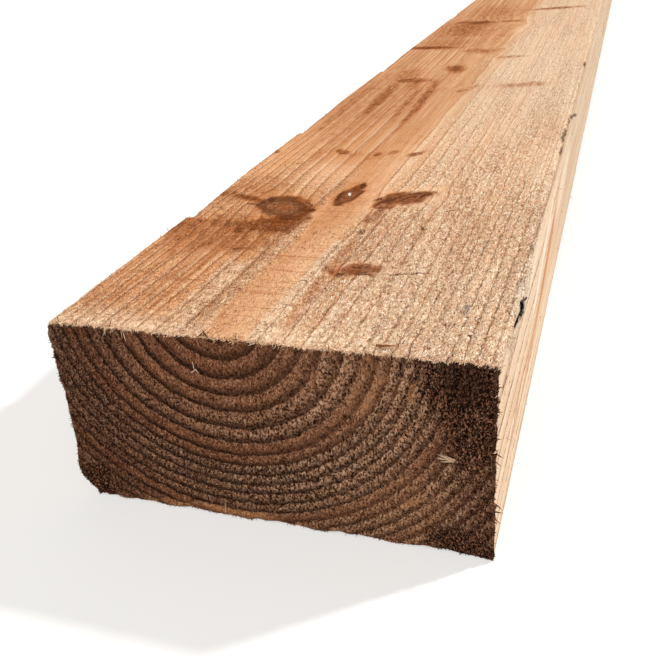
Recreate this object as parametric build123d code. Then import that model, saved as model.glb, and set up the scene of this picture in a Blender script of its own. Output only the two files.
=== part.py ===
"""A railway sleeper of new sawn softwood: one rectangular baulk, cut from a single log.

It lies flat along Y, with +Z up, and the origin is in the middle of its underside. The near end, at -Y,
shows the growth rings. All four long faces are flat as sawn. One lower arris keeps a strip of the log's
round surface, called wane, that runs out along the length. The other arrises are slightly eased, and have
splinters torn out of them here and there, with a bark pocket beside one tear. Sizes are in millimetres.
"""

import math
import os

from build123d import *

# The baulk
LENGTH = 2400.0
WIDTH = 200.0
HEIGHT = 95.0

# Easing of the sawn arrises, and of the upper right one, which is more worn
ARRIS_RADIUS = 1.0
WORN_ARRIS_RADIUS = 2.5

# The wane on the lower left arris at the near end, and the log that it is a piece of
WANE_WIDTH = 7.0
WANE_HEIGHT = 10.0
LOG_RADIUS_NEAR = 150.0
LOG_RADIUS_FAR = 167.0

# The usual splinter torn from an arris: along it, into the wide face, and down the narrow face
SPLINTER_LENGTH = 130.0
SPLINTER_WIDTH = 4.5
SPLINTER_DROP = 6.0

# The bark pocket in the right side, just under the worn arris: its size and where its middle is
POCKET_LENGTH = 25.0
POCKET_HEIGHT = 6.0
POCKET_DEPTH = 7.0
POCKET_FROM_END = 77.0
POCKET_FROM_TOP = 12.5
POCKET_SLOPE_DEG = 20.0

# How far cutting shapes run past the wood
OVERRUN = 5.0

# Torn splinters: side (-1 left, 1 right), level (-1 lower, 1 upper), where the blunt end is as a share of
# the sleeper's length, which way the tear runs out (1 away from the near end), and its length, width and
# drop as shares of the usual splinter's
SPLINTER_SHARES = [
    (-1, 1, 0.0572, 1, 0.80, 1.00, 1.00),
    (-1, 1, 0.1360, 1, 1.00, 0.75, 0.80),
    (-1, 1, 0.2380, 1, 0.90, 0.70, 0.70),
    (-1, 1, 0.4150, -1, 0.60, 0.60, 0.70),
    (-1, 1, 0.6900, 1, 0.85, 0.80, 0.60),
    (-1, 1, 0.9050, -1, 0.55, 0.65, 0.80),
    (1, 1, 0.0345, -1, 0.42, 0.60, 1.50),
    (1, 1, 0.1390, -1, 0.45, 0.55, 0.60),
    (1, 1, 0.1660, -1, 0.30, 0.80, 0.80),
    (1, 1, 0.3300, 1, 0.50, 0.60, 0.70),
    (1, 1, 0.5650, -1, 0.95, 0.70, 0.60),
    (1, 1, 0.8120, 1, 0.60, 0.85, 0.90),
    (1, -1, 0.1050, 1, 0.50, 0.55, 0.60),
    (1, -1, 0.4700, 1, 0.90, 0.80, 0.70),
    (1, -1, 0.8600, -1, 0.60, 0.60, 0.70),
    (-1, -1, 0.6200, 1, 0.70, 0.75, 0.80),
    (-1, -1, 0.8800, -1, 0.50, 0.55, 0.50),
]


def sawn_baulk():
    """The rectangular section with its eased arrises, drawn out along the length."""
    outline = Rectangle(WIDTH, HEIGHT, align=(Align.CENTER, Align.MIN))
    corners = outline.vertices()
    upper = corners.sort_by(Axis.Y)[-2:].sort_by(Axis.X)
    lower = corners.sort_by(Axis.Y)[:2].sort_by(Axis.X)
    outline = fillet([upper[0], lower[1]], ARRIS_RADIUS)
    worn = outline.vertices().sort_by_distance((WIDTH / 2, HEIGHT))[0]
    outline = fillet(worn, WORN_ARRIS_RADIUS)
    across = Plane.XZ.offset(-LENGTH / 2)
    return extrude(across * outline, amount=LENGTH)


def log():
    """The tapering log. At the near end its round surface crosses the side and the underside at the wane."""
    chord = math.hypot(WANE_WIDTH, WANE_HEIGHT)
    rise = math.sqrt(LOG_RADIUS_NEAR**2 - (chord / 2) ** 2)
    centre_x = -WIDTH / 2 + WANE_WIDTH / 2 + rise * WANE_HEIGHT / chord
    centre_z = WANE_HEIGHT / 2 + rise * WANE_WIDTH / chord
    widening = (LOG_RADIUS_FAR - LOG_RADIUS_NEAR) / LENGTH * OVERRUN
    trunk = Cone(
        LOG_RADIUS_NEAR - widening,
        LOG_RADIUS_FAR + widening,
        LENGTH + 2 * OVERRUN,
    )
    return Pos(centre_x, 0, centre_z) * Rot(-90, 0, 0) * trunk


def torn_splinter(side, level, start_share, way, length_share, width_share, drop_share):
    """The wedge missing where a splinter was torn off: blunt at one end, and running out along the grain."""
    length = SPLINTER_LENGTH * length_share
    width = SPLINTER_WIDTH * width_share
    drop = SPLINTER_DROP * drop_share
    arris_x = side * WIDTH / 2
    arris_z = HEIGHT * (level + 1) / 2
    start = -LENGTH / 2 + LENGTH * start_share
    on_wide_face = Vector(arris_x - side * width, start, arris_z)
    on_narrow_face = Vector(arris_x, start, arris_z - level * drop)
    run_out = Vector(arris_x, start + way * length, arris_z)
    outward = (on_narrow_face - on_wide_face).cross(run_out - on_wide_face)
    if outward.dot(Vector(side, 0, level)) < 0:
        outward = -outward
    tear = Plane(origin=on_wide_face, x_dir=run_out - on_wide_face, z_dir=outward)
    reach = 2 * (length + OVERRUN)
    outside = (Align.CENTER, Align.CENTER, Align.MIN)
    beyond_tear = tear * Box(reach, reach, reach, align=outside)
    beyond_start = Pos(arris_x, start + way * reach / 2, arris_z) * Box(reach, reach, reach)
    return beyond_tear & beyond_start


def bark_pocket():
    """A disc that cuts a slot with a round bottom into the right side, sloping down across the grain."""
    disc_radius = ((POCKET_LENGTH / 2) ** 2 + POCKET_DEPTH**2) / (2 * POCKET_DEPTH)
    centre = (
        WIDTH / 2 + disc_radius - POCKET_DEPTH,
        -LENGTH / 2 + POCKET_FROM_END,
        HEIGHT - POCKET_FROM_TOP,
    )
    return Pos(*centre) * Rot(-POCKET_SLOPE_DEG, 0, 0) * Cylinder(disc_radius, POCKET_HEIGHT)


def sleeper():
    """The whole sleeper, one piece of wood."""
    wood = sawn_baulk() & log()
    for shares in SPLINTER_SHARES:
        wood -= torn_splinter(*shares)
    return wood - bark_pocket()


os.makedirs("parts", exist_ok=True)
export_step(sleeper().solid(), "parts/sleeper.step")
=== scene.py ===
"""The looks of a new sawn softwood sleeper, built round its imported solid.

One dense mesh stands for the solid. It is dropped onto the solid's surface, roughened, and carries what the
shaders need at each vertex: where it lies in the log, and how near it is to knots, stains and torn wool.
Loose fibres are joined meshes of thin closed spikes. Lengths are in millimetres until a mesh is made.
"""

import itertools
import math

import bpy
import numpy as np
from mathutils import Matrix, Vector
from mathutils.bvhtree import BVHTree
from mathutils.geometry import delaunay_2d_cdt


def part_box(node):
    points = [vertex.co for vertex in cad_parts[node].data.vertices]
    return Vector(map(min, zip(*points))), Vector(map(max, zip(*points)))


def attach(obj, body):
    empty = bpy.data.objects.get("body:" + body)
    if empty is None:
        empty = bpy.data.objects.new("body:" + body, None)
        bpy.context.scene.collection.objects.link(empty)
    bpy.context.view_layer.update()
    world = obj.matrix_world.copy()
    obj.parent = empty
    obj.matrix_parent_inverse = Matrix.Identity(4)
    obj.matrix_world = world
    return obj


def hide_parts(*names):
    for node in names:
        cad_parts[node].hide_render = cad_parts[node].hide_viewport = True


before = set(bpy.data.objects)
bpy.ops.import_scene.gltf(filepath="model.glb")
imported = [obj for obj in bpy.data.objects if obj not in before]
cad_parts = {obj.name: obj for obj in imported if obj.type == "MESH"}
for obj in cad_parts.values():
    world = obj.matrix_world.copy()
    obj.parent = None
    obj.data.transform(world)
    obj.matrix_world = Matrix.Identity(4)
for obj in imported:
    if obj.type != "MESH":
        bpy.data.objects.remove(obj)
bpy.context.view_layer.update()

MM = 0.001
NODE = "sleeper"
LOW, HIGH = (np.array(corner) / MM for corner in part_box(NODE))
WIDTH, LENGTH, HEIGHT = HIGH - LOW

# The log: where its pith lies at the near end, how it wanders along the length, and the outer radius of
# each growth ring. The pith is just above the top face. x is across, y is from the near end, z is up.
PITH_X = -17.0
PITH_Z = 108.0
PITH_SWAYS = (6.0, 5.0)
PITH_SWAY_LENGTHS = (1900.0, 1500.0)
RING_RADII = (
    15.0, 23.3, 32.6, 41.0, 49.3, 58.2, 65.5, 72.2, 77.6, 82.8, 88.2, 93.3, 99.0, 104.0, 109.8, 115.3,
    121.3, 126.5, 132.0, 138.0, 144.0, 150.0, 157.0, 166.0,
)

# The height at which the tables of the top face were read
TOP = 95

# Knots: a point on the branch, the way it runs through the wood, its radius and the length of branch that
# shows as a knot, and how plainly its round face shows, as a share. The point is on the top face
KNOTS_SHARE = [
    ((-48.5, 160.5), (-0.57, 0.53, -0.63), 11.3, 80, 1.00),
    ((-15.5, 184), (0.10, 0.90, -0.42), 5.4, 40, 0.55),
    ((20, 186), (0.76, 0.45, -0.50), 7.6, 70, 0.50),
    ((22, 79), (0.86, 0.14, -0.50), 5.2, 60, 0.32),
    ((-48, 279), (-0.75, 0.40, -0.50), 2.2, 40, 0.00),
    ((-41, 273), (-0.60, 0.10, -0.80), 2.4, 40, 0.00),
    ((-22, 273), (-0.20, 0.30, -0.93), 2.0, 40, 0.00),
    ((-12, 278), (0.00, 0.50, -0.86), 1.8, 40, 0.00),
    ((4, 276), (0.70, 0.40, -0.60), 2.4, 40, 0.00),
    ((-50, 518), (-0.90, 0.10, -0.42), 6.0, 60, 0.00),
    ((55, 501), (0.99, 0.05, -0.10), 3.0, 60, 0.00),
    ((3, 478), (0.30, 0.50, -0.80), 3.5, 60, 0.00),
    ((-22, 577), (-0.20, 0.40, -0.90), 5.5, 60, 0.12),
    ((15, 632), (0.60, 0.20, -0.77), 4.5, 90, 0.10),
    ((-72, 704), (-0.96, 0.05, -0.26), 6.0, 90, 0.10),
    ((3, 690), (0.10, 0.86, -0.50), 6.0, 90, 0.15),
    ((-60, 903), (-0.50, 0.30, -0.80), 19.0, 90, 0.20),
    ((0, 868), (0.10, 0.80, -0.58), 9.0, 90, 0.15),
    ((30, 985), (0.86, 0.42, -0.30), 7.0, 90, 0.10),
    ((-38, 1188), (-0.45, 0.15, -0.88), 12.0, 150, 0.90),
    ((40, 1206), (0.70, 0.20, -0.68), 7.0, 150, 0.80),
    ((-62, 1428), (-0.80, 0.20, -0.56), 6.5, 150, 0.80),
    ((12, 1445), (0.25, 0.15, -0.95), 10.0, 150, 0.90),
    ((-28, 1682), (-0.30, 0.20, -0.93), 13.0, 150, 0.90),
    ((54, 1700), (0.75, 0.15, -0.64), 8.0, 150, 0.80),
    ((-76, 1916), (-0.90, 0.20, -0.38), 7.0, 150, 0.80),
    ((24, 1934), (0.35, 0.25, -0.90), 9.0, 150, 0.90),
    ((-10, 2172), (-0.10, 0.25, -0.96), 12.0, 150, 0.90),
    ((62, 2192), (0.80, 0.15, -0.58), 6.0, 150, 0.80),
]
# How far a knot bends the grain round it, in knot radii
KNOT_REACH = 6.0

# Stains round points on the top face: middle, half sizes along x, y and z, turn about z in degrees, and
# strength as a share
STAINS_SHARE = [
    ((-47, 161), (19, 16, 14), -20, 0.80),
    ((-42, 134), (18, 16, 12), 0, 1.00),
    ((-40, 126), (13, 12, 12), 0, 1.00),
    ((-57, 128), (15, 13, 12), 0, 0.95),
    ((-48, 131), (22, 8, 10), 4, 1.00),
    ((-50, 106), (17, 22, 10), 0, 0.66),
    ((-34, 143), (9, 9, 10), 20, 1.00),
    ((-76, 174), (14, 5.5, 12), -25, 1.00),
    ((-94, 181), (11, 6, 12), -20, 0.75),
    ((-33, 158), (4.5, 11, 12), 25, 1.00),
    ((-45, 176), (14, 3.5, 10), -22, 0.85),
    ((-74, 114), (34, 36, 12), 0, 0.58),
    ((-78, 190), (28, 30, 12), 0, 0.46),
    ((-12, 172), (22, 62, 10), 0, 0.27),
    ((-15.5, 184), (7.2, 17, 10), -4, 0.90),
    ((-15.5, 189), (3.6, 8, 10), -4, 1.00),
    ((-16.5, 174), (5.0, 9, 10), 0, 1.00),
    ((-13.0, 200), (3.8, 11, 10), -6, 0.95),
    ((19, 185), (17.0, 11.0, 12), 30, 0.98),
    ((24, 180), (11, 8, 12), 40, 0.95),
    ((28, 192), (9, 6, 12), 25, 1.00),
    ((10.5, 172), (7, 12, 10), 0, 0.95),
    ((9.5, 150), (4.5, 19, 10), 0, 0.70),
    ((8.5, 65), (4.5, 75, 10), 0, 0.50),
    ((21, 79), (15, 8.5, 10), 14, 0.92),
    ((14, 73), (8, 5, 10), 0, 0.90),
    ((8, 76), (6, 4, 10), -15, 0.70),
    ((46, 77.5), (14, 1.6, 8), 13, 0.60),
    ((37, 91), (11, 4, 8), 5, 0.50),
    ((45, 212), (12, 6, 8), 15, 0.35),
    ((-48, 277), (11, 5.0, 10), -42, 0.78),
    ((-22, 273), (4, 7, 10), 0, 0.66),
    ((-12, 278), (4, 7, 10), 0, 0.55),
    ((5, 276), (10, 5.0, 10), 48, 0.78),
    ((-30, 270), (34, 12, 10), 0, 0.30),
    ((58, 279), (7, 3, 8), 15, 0.30),
    ((-97, 274), (6, 4, 10), -60, 0.60),
    ((-70, 430), (40, 190, 10), 0, 0.34),
    ((-28, 450), (5, 110, 10), 2, 0.74),
    ((-38, 430), (4, 90, 10), 2, 0.60),
    ((-66, 450), (7, 95, 10), 2, 0.70),
    ((-88, 420), (8, 120, 10), 2, 0.50),
    ((-64, 300), (8, 60, 10), 0, 0.34),
    ((-8, 330), (9, 80, 10), 0, 0.24),
    ((-20, 500), (60, 60, 10), 0, 0.20),
    ((-75, 350), (10, 18, 10), 0, 0.36),
    ((-56, 524), (21, 14, 12), -15, 0.82),
    ((-50, 500), (7, 34, 12), 0, 0.60),
    ((-66, 550), (16, 42, 12), 0, 0.55),
    ((2, 479), (5, 12, 10), -30, 0.58),
    ((8, 494), (3.5, 18, 10), -10, 0.48),
    ((46, 501), (34, 11, 8), 8, 0.52),
    ((60, 506), (15, 13, 8), 0, 0.56),
    ((-24, 579), (12, 26, 10), 10, 0.85),
    ((24, 644), (18, 9, 10), 8, 0.60),
    ((-76, 707), (38, 13, 12), 0, 1.00),
    ((-62, 735), (42, 46, 12), 0, 0.52),
    ((-14, 680), (28, 18, 12), -30, 0.62),
    ((-56, 903), (32, 18, 12), 0, 1.00),
    ((-60, 850), (42, 100, 12), 0, 0.66),
    ((-12, 908), (26, 14, 12), 0, 0.66),
    ((-45, 990), (46, 120, 12), 0, 0.48),
    ((-8, 790), (8, 90, 10), 0, 0.48),
    ((40, 1027), (44, 14, 12), 19, 0.85),
    # The row at (92, 340) darkens a strip of the top face beside the right arris
    ((92, 340), (9, 70, 10), 0, 0.34),
    ((-38, 1190), (20, 34, 14), 0, 0.60),
    ((12, 1448), (16, 30, 14), 0, 0.60),
    ((-28, 1684), (22, 38, 14), 0, 0.60),
    ((24, 1936), (16, 32, 14), 0, 0.60),
    ((-10, 2174), (20, 36, 14), 0, 0.60),
]

# Pale bands and, with a strength below zero, brown ones on the top face: their middle at the near end and
# BAND_RUN farther on, half width, where they start and end, and strength as a share
BAND_RUN = 120.0
BANDS_SHARE = [
    (-41.0, -40.0, 6.5, -9, 76, 0.70),
    (-30.0, -27.0, 3.0, -9, 150, 0.40),
    (-0.5, 2.5, 3.4, -9, 112, 1.00),
    (12.0, 13.5, 2.2, -9, 62, 0.80),
    (24.0, 26.0, 2.2, -9, 66, 0.85),
    (34.0, 35.0, 1.6, -9, 140, 0.45),
    (44.0, 45.0, 1.8, -9, 170, 0.75),
    (53.0, 53.0, 1.2, -9, 150, 0.40),
    (61.0, 61.5, 1.6, 10, 240, 0.65),
    (75.0, 75.0, 1.4, -9, 200, 0.45),
    (88.5, 89.0, 1.5, -9, 260, 0.95),
    (95.0, 96.0, 2.0, -9, 90, 0.80),
    (-96.0, -92.0, 3.0, 20, 150, -0.25),
    (-83.5, -80.5, 1.5, 12, 140, -0.90),
    (-75.0, -73.0, 1.0, 25, 140, -0.55),
    (-68.0, -65.0, 1.3, 25, 140, -0.75),
    (-60.0, -57.0, 1.3, 8, 140, -0.95),
    (-51.0, -47.0, 1.0, 20, 130, -0.45),
    (6.5, 9.0, 2.6, -9, 150, -0.55),
    (21.5, 23.0, 0.9, -9, 120, -0.50),
    (42.0, 42.5, 0.9, -9, 170, -0.55),
    (59.0, 59.5, 0.9, -9, 260, -0.50),
    (72.8, 73.2, 0.8, -9, 200, -0.40),
    (86.6, 86.9, 0.8, 20, 260, -0.60),
]

# Sharp dark marks on the top face: middle, half sizes, and turn about z in degrees
MARK_DEPTH = 6
MARKS = [
    ((-61, 173), (2.2, 5.6), 20),
    ((-64, 167), (1.6, 2.8), 0),
    ((-28.5, 157), (2.0, 3.4), 30),
    ((-34, 167), (1.2, 7.0), 35),
    ((-36, 141), (9.0, 1.1), 0),
    ((-68, 163), (5.5, 1.3), -20),
    ((4.5, 180), (1.8, 3.4), -30),
    ((-12, 204), (2.0, 5.5), 8),
    ((-20.4, 183), (1.2, 10.0), 4),
    ((-9.8, 187), (1.0, 10.0), -5),
    ((-16, 167.5), (4.0, 1.5), 0),
    ((8.5, 176), (1.4, 9.0), -22),
    ((14, 182), (1.1, 9.0), -28),
    ((21, 184), (1.3, 8.0), -34),
    ((30, 190), (1.4, 7.0), -25),
    ((24, 193), (5.0, 1.4), 28),
    ((20.5, 81), (3.2, 1.4), 0),
    ((27, 73), (5.0, 1.1), 8),
    ((46, 77.5), (13.0, 0.7), 14),
    ((14.5, 72), (2.4, 1.1), 0),
    ((39.5, 138), (1.0, 3.4), 12),
    ((49.5, 166), (2.8, 1.4), 10),
    ((-88, 131), (1.1, 3.0), 25),
    ((-50, 94.5), (2.4, 1.2), -15),
    ((-32, 33), (0.8, 2.8), 15),
    ((0, 62), (1.8, 1.1), 0),
    ((-1, 17), (1.1, 1.8), 30),
    ((9.5, 127), (1.9, 4.2), 5),
]

# The crack that runs on from the open pocket in the right side, how deep it is, the painted shade of the
# pocket's and the crack's dark insides, and the dark tears along the same arris: middle, half sizes, and
# turns about x, y and z in degrees
CRACK = ((99.5, 58, 85.8), (5, 18, 2.0), (-12, 0, 0))
CRACK_DEPTH = 0.6
PAINTED_SHADE_POCKETS = [
    CRACK,
    ((97, 76, 82.4), (9, 15, 4.8), (-20, 0, 0)),
    ((97.5, 85, 78.5), (5, 5, 4.2), (-20, 0, 0)),
]
TEARS = [
    ((99, 119, 93), (1.4, 6.0, 2.2), (0, 0, 0)),
    ((100, 300, 92.5), (2.4, 18, 2.0), (-5, 0, 0)),
    ((99, 332, 94), (1.8, 20, 2.0), (0, 0, 0)),
    ((99, 372, 93), (1.4, 16, 1.6), (0, 0, 0)),
    ((100, 408, 89), (2.4, 22, 1.6), (-13, 0, 0)),
    ((100, 456, 79), (3, 38, 1.5), (-13, 0, 0)),
    ((99.8, 600, 94), (1.6, 16, 2.2), (0, 0, 0)),
]

# Streaks on the right side: middle, half sizes, turns as before, colour on a screen, and strength as a share
SIDE_STREAKS_SHARE = [
    ((100, 246, 52), (9, 84, 6.5), (13, 0, 0), (206, 132, 78), 0.75),
    ((100, 150, 33), (9, 60, 5.0), (8, 0, 0), (214, 144, 92), 0.55),
    ((100, 70, 31), (9, 46, 2.0), (10, 0, 0), (196, 124, 74), 0.60),
    ((100, 48, 74), (9, 44, 1.2), (4, 0, 0), (204, 138, 90), 0.45),
    ((100, 195, 63), (9, 76, 5.0), (14, 0, 0), (255, 244, 226), 0.75),
    ((100, 120, 80), (9, 46, 4.5), (6, 0, 0), (255, 240, 218), 0.55),
    ((100, 340, 60), (9, 70, 14), (4, 0, 0), (255, 238, 214), 0.45),
]


def smooth_step(value, start, end):
    """0 before start, 1 past end, and a smooth rise between them. Start may be the larger one."""
    part = np.clip((value - start) / (end - start), 0, 1)
    return part * part * (3 - 2 * part)


# What stirs a corner's place and a seed into a code that is the same in each run
HASH_STEPS = (73856093, 19349663, 83492791)
HASH_STIR = 1274126177
HASH_LAST = 0xFFFF


def noise_at(place, cell, seed):
    """Smooth noise from -1 to 1 at places, with bumps about as long as cell says along each axis."""
    at = place / np.asarray(cell, float)
    low = np.floor(at).astype(np.int64)
    part = at - low
    part = part * part * (3 - 2 * part)
    total = np.zeros(len(place))
    for corner in itertools.product((0, 1), repeat=3):
        spot = low + corner
        code = np.bitwise_xor.reduce(spot * HASH_STEPS, axis=1) ^ (seed * HASH_STIR)
        code = (code ^ (code >> 13)) * HASH_STIR
        code = (code ^ (code >> 16)) & HASH_LAST
        share = np.where(corner, part, 1 - part).prod(1)
        total += share * (2 * code / HASH_LAST - 1)
    return total


def drift(place, cell, seeds, size):
    """A smooth shift of each place, up to a size along each axis."""
    return np.stack([noise_at(place, cell, seed) for seed in seeds], 1) * size


def off_pith(place):
    """How far each place is from the pith, across and up, with the pith's wander taken out."""
    sway = [s * np.sin(2 * math.pi * place[:, 1] / n) for s, n in zip(PITH_SWAYS, PITH_SWAY_LENGTHS)]
    return np.stack([place[:, 0] - PITH_X - sway[0], place[:, 1], place[:, 2] - PITH_Z - sway[1]], 1)


def round_knots(place):
    """Each place moved to where its grain would lie with no knots, its distance from the nearest knot's
    middle in that knot's radii, and how plainly that knot shows there."""
    moved = place.copy()
    nearest = np.full(len(place), KNOT_REACH)
    shown = np.zeros(len(place))
    for middle, way, radius, length, plain in KNOTS_SHARE:
        way = np.array(way) / np.linalg.norm(way)
        away = place - (*middle, TOP)
        along = away @ way
        aside = away - np.outer(along, way)
        reach = np.linalg.norm(aside, axis=1) / radius
        within = smooth_step(along, length * 1.3, length * 0.9)
        held = 1 / np.maximum(reach, 1) ** 2 * smooth_step(reach, KNOT_REACH, KNOT_REACH / 3)
        moved -= aside * (held * within)[:, None]
        shown = np.where(reach < nearest, plain * within, shown)
        nearest = np.minimum(nearest, reach)
    return moved, nearest, shown


# Past SOFT_FROM stains grow softer edges, fully so SOFT_LENGTH farther on
SOFT_FROM, SOFT_LENGTH = 400.0, 250.0


def stains_at(place):
    """How deeply stained each place is, from 0 to 1."""
    depth = np.zeros(len(place))
    ragged = 0.24 * noise_at(place, (5, 8, 5), 21) + 0.16 * noise_at(place, (2, 3.2, 2), 22)
    ragged *= smooth_step(place[:, 1], 460, 300) * 0.65 + 0.35
    for middle, half, turn, strength in STAINS_SHARE:
        away = place - (*middle, TOP)
        c, s = math.cos(math.radians(turn)), math.sin(math.radians(turn))
        across = (c * away[:, 0] + s * away[:, 1]) / half[0]
        along = (c * away[:, 1] - s * away[:, 0]) / half[1]
        far = np.sqrt(across**2 + along**2 + (away[:, 2] / half[2]) ** 2) + ragged
        soft = np.clip((middle[1] - SOFT_FROM) / SOFT_LENGTH, 0, 1)
        depth = np.maximum(depth, strength * smooth_step(far, 1.30 + 0.35 * soft, 0.50 - 0.35 * soft))
    return depth


def ring_number(grain):
    """The number of growth rings inside each place, with the part of a ring."""
    radius = np.hypot(grain[:, 0], grain[:, 2])
    return np.interp(radius, (0, *RING_RADII), range(len(RING_RADII) + 1))


def bands_at(place):
    """How pale and how brown the near part's bands make each place, from 0 to 1."""
    x, y, z = place.T
    x = x + 0.8 * noise_at(place, (14, 22, 14), 31) + 0.35 * noise_at(place, (3, 4, 3), 32)
    up = smooth_step(z, HEIGHT - 6, HEIGHT - 3)
    pale, brown = np.zeros(len(place)), np.zeros(len(place))
    for near, far, half, start, end, strength in BANDS_SHARE:
        off = np.abs(x - near - (far - near) * y / BAND_RUN) / half
        along = smooth_step(y, start, start + 8) * smooth_step(y, end + 6, end - 3)
        depth = abs(strength) * smooth_step(off, 1.5, 0.5) * along * up
        held = pale if strength > 0 else brown
        np.maximum(held, depth, out=held)
    return pale, brown


def inside_crack(place):
    """1 inside the crack beside the pocket and 0 outside it, with a soft edge."""
    middle, half, turns = CRACK
    turn = np.array(Matrix.Rotation(math.radians(turns[0]), 3, "X"))
    return smooth_step(np.linalg.norm((place - middle) @ turn / half, axis=1), 1.25, 0.75)


class Wood:
    """What the shaders and the fibres need to know at each of some places in the log."""

    FIELDS = ("knot", "shown", "stain", "heart", "cream", "wool", "soak", "tan")

    def __init__(self, place):
        moved, reach, self.shown = round_knots(place)
        self.knot = reach + 0.22 * noise_at(place, (4, 4, 4), 1) + 0.13 * noise_at(place, (1.8, 1.8, 1.8), 2)
        self.grain = off_pith(moved)
        self.ring = ring_number(self.grain)
        pale, brown = bands_at(place)
        x, y, _ = place.T
        shelf = smooth_step(x, -57, -64) * smooth_step(y, 137.5, 135.5) * smooth_step(y, 92, 116)
        self.stain = np.maximum.reduce([stains_at(place), 0.55 * brown, 0.68 * shelf])
        edge = place[:, 0] + 14 * noise_at(place, (60, 260, 60), 3)
        lit = np.maximum(0.65 * pale, 0.60 * smooth_step(y, 24, 4) * smooth_step(np.abs(x + 14), 9, 12))
        self.heart = smooth_step(edge, 30, -50) * (1 - lit) * (1 - 0.28 * smooth_step(y, 170, 300))
        self.cream = self.cream_at(place, pale)
        self.wool = self.wool_at(place)
        self.soak = self.soak_at(place)
        self.tan = self.tan_at(place)

    def cream_at(self, place, pale):
        """How pale the sapwood is, from 0 to 1."""
        x, y, z = place.T
        side = smooth_step(x, WIDTH / 2 - 4, WIDTH / 2 - 0.5) * smooth_step(z, HEIGHT - 1, HEIGHT - 5)
        right = smooth_step(x, 0, 55) * smooth_step(y, 190, 60) * 0.72
        middle = smooth_step(x, -30, 8) * smooth_step(y, 105, 165) * smooth_step(y, 340, 230) * 0.20
        edge = smooth_step(x, 62, 90) * 0.58
        torn = 26 * noise_at(place, (30, 300, 30), 61) + 7 * noise_at(place, (7, 80, 7), 62)
        far = smooth_step(x + torn * smooth_step(y, 560, 1100), -2, 26) * smooth_step(y, 190, 380) * 0.42
        near = smooth_step(y, 30, 4) * (0.80 - 0.60 * smooth_step(np.abs(x + 14), 12, 9))
        above = smooth_step(np.hypot((x + 48) / 30, (y - 218) / 45), 1.1, 0.3) * 0.6
        core = smooth_step(np.abs(x + 14), 13, 8) * smooth_step(y, 135, 95) * 0.16
        parts = (side, right, middle, edge, far, near, above, core, 0.95 * pale)
        return np.clip(np.maximum.reduce(parts), 0, 1)

    def wool_at(self, place):
        """How woolly the sawn surface is, from 0 to 1."""
        x, y, z = place.T
        patchy = 0.26 * noise_at(self.grain, (14, 90, 14), 5) + 0.14 * noise_at(self.grain, (4, 40, 4), 6)
        wool = 0.60 + 0.36 * smooth_step(x, -8, 35) + patchy
        lean = x - 0.03 * np.minimum(y, 130) + 2.5 * noise_at(place, (9, 26, 9), 8)
        core = smooth_step(lean, -28.5, -24.5) * smooth_step(lean, -1.5, -5.5) * smooth_step(y, 330, 150)
        patch = smooth_step(np.abs(x + 40), 9, 6) * smooth_step(y, 82, 72)
        seam = smooth_step(np.abs(lean + 30), 5, 3) * smooth_step(y, 170, 130)
        wool += 0.14 * patch + 0.30 * seam * (1 - patch) - 0.40 * core
        wool -= (0.25 * smooth_step(x, 30, -20) + 0.45) * smooth_step(y, 165, 340)
        wool -= 0.45 * smooth_step(self.knot, 2.6, 1.4) * np.minimum(2 * self.shown, 1)
        wool *= 1 - smooth_step(self.knot, 1.3, 0.9) * np.minimum(1.3 * self.shown, 1)
        wool *= 1 - 0.62 * self.stain
        near = smooth_step(y, 25, 36) * smooth_step(y, 116, 102) * smooth_step(z, 74, 84)
        on_side = smooth_step(np.abs(x), WIDTH / 2 - 1.5, WIDTH / 2 - 0.2)
        on_side = on_side * smooth_step(z, HEIGHT, HEIGHT - 6)
        return np.clip(wool * (1 - 0.85 * on_side * (1 - near)), 0, 1)

    def soak_at(self, place):
        """How dark the cut end is stained, from 0 to 1."""
        moved = place + drift(place, (12, 50, 12), (41, 42, 43), 5)
        moved += drift(place, (4, 50, 4), (44, 45, 46), 2)
        x, z = moved[:, 0], moved[:, 2]
        block = smooth_step(x - 0.16 * (TOP - z), 58, 80) * smooth_step(z, 34, 62)
        side = smooth_step(x, 76, 92) * smooth_step(z, 64, 46) * 0.60
        low_right = smooth_step(x, 64, 80) * smooth_step(z, 22, 8) * 0.85
        left = smooth_step(x, -38, -84) * 0.52
        low_left = smooth_step(x, -72, -92) * smooth_step(z, 32, 14) * 0.90
        pith = smooth_step(np.hypot(x + 12, (z - HEIGHT) * 1.8), 20, 8) * 0.35
        return np.maximum.reduce([block, side, low_right, left, low_left, pith])

    def tan_at(self, place):
        """How light and tan the cut end is, from 0 to 1."""
        moved = place + drift(place, (9, 50, 9), (51, 52, 53), 4)
        x, z = moved[:, 0], moved[:, 2]
        middle = smooth_step(x, 8, 40) * smooth_step(x, 84, 68)
        patch = smooth_step(np.hypot((x - 52) / 20, (z - 77) / 20), 1.15, 0.4)
        low = smooth_step(np.hypot((x - 66) / 20, (z - 20) / 24), 1.15, 0.4)
        return np.clip(0.55 * middle + 0.6 * np.maximum(patch, low), 0, 1)


# The sleeper's own mesh. Round the section, runs of columns with a start, an end and a spacing
TOP_RUNS = ((-100.0, 84.0, 1.25), (84.0, 100.0, 0.8))
RIGHT_RUNS = ((95.0, 70.0, 0.9), (70.0, 0.0, 2.9))
BOTTOM_RUNS = ((100.0, -88.0, 5.0), (-88.0, -100.0, 1.3))
LEFT_RUNS = ((0.0, 14.0, 1.3), (14.0, 95.0, 2.8))
# Along the length, the fine stretch and its spacing, then coarser spacings near knots and away from them
FINE_LENGTH = 330.0
FINE_STEP = 2.2
KNOT_STEP = 3.6
CLEAR_STEP = 13.0
NEAR_CAP_STEP = 1.5
FAR_CAP_STEP = 4.5
ARRIS_BLEND = 12.0
PROBE = 20.0


def runs(parts):
    """Evenly spaced values along each part, without the last one's end."""
    return np.concatenate([
        np.linspace(start, end, max(round(abs(end - start) / step), 1), endpoint=False)
        for start, end, step in parts
    ])


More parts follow.
